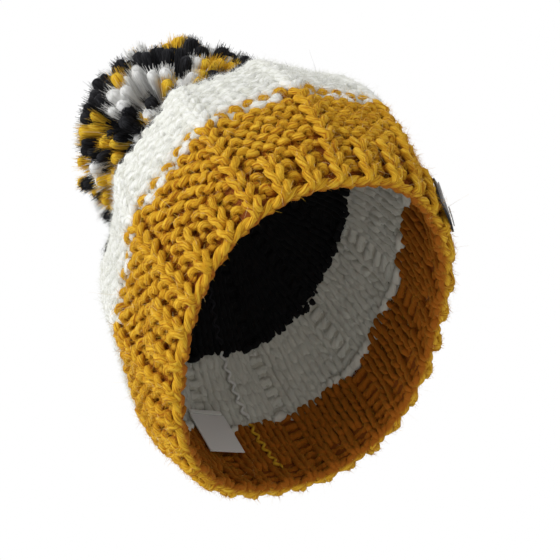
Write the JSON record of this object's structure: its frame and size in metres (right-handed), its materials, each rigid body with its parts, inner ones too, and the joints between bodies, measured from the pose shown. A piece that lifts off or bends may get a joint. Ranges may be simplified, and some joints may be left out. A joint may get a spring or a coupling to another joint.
{
  "type": "knit beanie",
  "caption": "Chunky knit beanie in three colour bands with raised ribs, a ribbed rim, a side label and a cut yarn pompom that tilts and turns on its cord.",
  "frame": {"origin": "On the plane that the rim rests on, under the middle of the whole hat's bounding box.", "axes": "+Z runs from the open rim to the crown and pompom, -Y is the wearer's front and +X is the wearer's left."},
  "size_m": [0.187, 0.2429, 0.2706],
  "materials": {
    "mustard_yarn": "matt thick wool-blend roving, lightly twisted, with pale fuzz",
    "cream_yarn": "matt thick soft wool-blend roving with pale fuzz",
    "black_yarn": "matt thick soft wool-blend roving",
    "label_cloth": "tight woven tape, slight sheen, blank",
    "label_thread": "polyester sewing thread",
    "care_label_satin": "white satin ribbon, blank"
  },
  "bodies": {
    "hat": {"brim_rib": "mustard_yarn", "mustard_body": "mustard_yarn", "cream_band": "cream_yarn", "back_seam_mustard": "mustard_yarn", "back_seam_cream": "cream_yarn", "side_label": "label_cloth", "side_label_stitches_front": "label_thread", "side_label_stitches_back": "label_thread", "care_label_stitches": "cream_yarn"},
    "crown": {"black_crown": "black_yarn", "back_seam_black": "black_yarn", "crown_gather_yarn": "black_yarn", "pom_anchor_knot": "black_yarn"},
    "care_label_flap": {"care_label": "care_label_satin"},
    "cord": {"pom_cord": "black_yarn"},
    "cord_knot": {"pom_cord_knot": "black_yarn"},
    "pompom": {"pom_binding": "black_yarn", "pom_tuft_black_01": "black_yarn", "pom_tuft_black_02": "black_yarn", "pom_tuft_black_03": "black_yarn", "pom_tuft_black_04": "black_yarn", "pom_tuft_black_05": "black_yarn", "pom_tuft_black_06": "black_yarn", "pom_tuft_black_07": "black_yarn", "pom_tuft_black_08": "black_yarn", "pom_tuft_black_09": "black_yarn", "pom_tuft_black_10": "black_yarn", "pom_tuft_black_11": "black_yarn", "pom_tuft_black_12": "black_yarn", "pom_tuft_cream_01": "cream_yarn", "pom_tuft_cream_02": "cream_yarn", "pom_tuft_cream_03": "cream_yarn", "pom_tuft_cream_04": "cream_yarn", "pom_tuft_cream_05": "cream_yarn", "pom_tuft_cream_06": "cream_yarn", "pom_tuft_cream_07": "cream_yarn", "pom_tuft_cream_08": "cream_yarn", "pom_tuft_cream_09": "cream_yarn", "pom_tuft_cream_10": "cream_yarn", "pom_tuft_cream_11": "cream_yarn", "pom_tuft_mustard_01": "mustard_yarn", "pom_tuft_mustard_02": "mustard_yarn", "pom_tuft_mustard_03": "mustard_yarn", "pom_tuft_mustard_04": "mustard_yarn", "pom_tuft_mustard_05": "mustard_yarn", "pom_tuft_mustard_06": "mustard_yarn", "pom_tuft_mustard_07": "mustard_yarn", "pom_tuft_mustard_08": "mustard_yarn", "pom_tuft_mustard_09": "mustard_yarn", "pom_tuft_mustard_10": "mustard_yarn", "pom_tuft_mustard_11": "mustard_yarn", "pom_tuft_mustard_12": "mustard_yarn", "pom_tuft_mustard_13": "mustard_yarn"}
  },
  "joints": [
    {"name": "crown_sink", "type": "slide", "parent": "hat", "child": "crown", "axis": [0, 0, -1], "range_m": [0, 0.025], "deforming": ["cream_band", "back_seam_cream"]},
    {"name": "care_label_flap_hinge", "type": "hinge", "parent": "hat", "child": "care_label_flap", "pos_m": [-0.02536, 0.10586, 0.075], "axis": [-0.9511, -0.309, 0], "range_deg": [0, 60]},
    {"name": "pompom_nod", "type": "hinge", "parent": "crown", "child": "cord", "pos_m": [0, -0.0042, 0.1656], "axis": [1, 0, 0], "range_deg": [-12, 12]},
    {"name": "pompom_sway", "type": "hinge", "parent": "cord", "child": "cord_knot", "pos_m": [0, -0.0042, 0.1736], "axis": [0, 1, 0], "range_deg": [-12, 12]},
    {"name": "pompom_twist", "type": "hinge", "parent": "cord_knot", "child": "pompom", "pos_m": [0, -0.0042, 0.2086], "axis": [0, 0, 1], "range_deg": [-90, 90]}
  ]
}
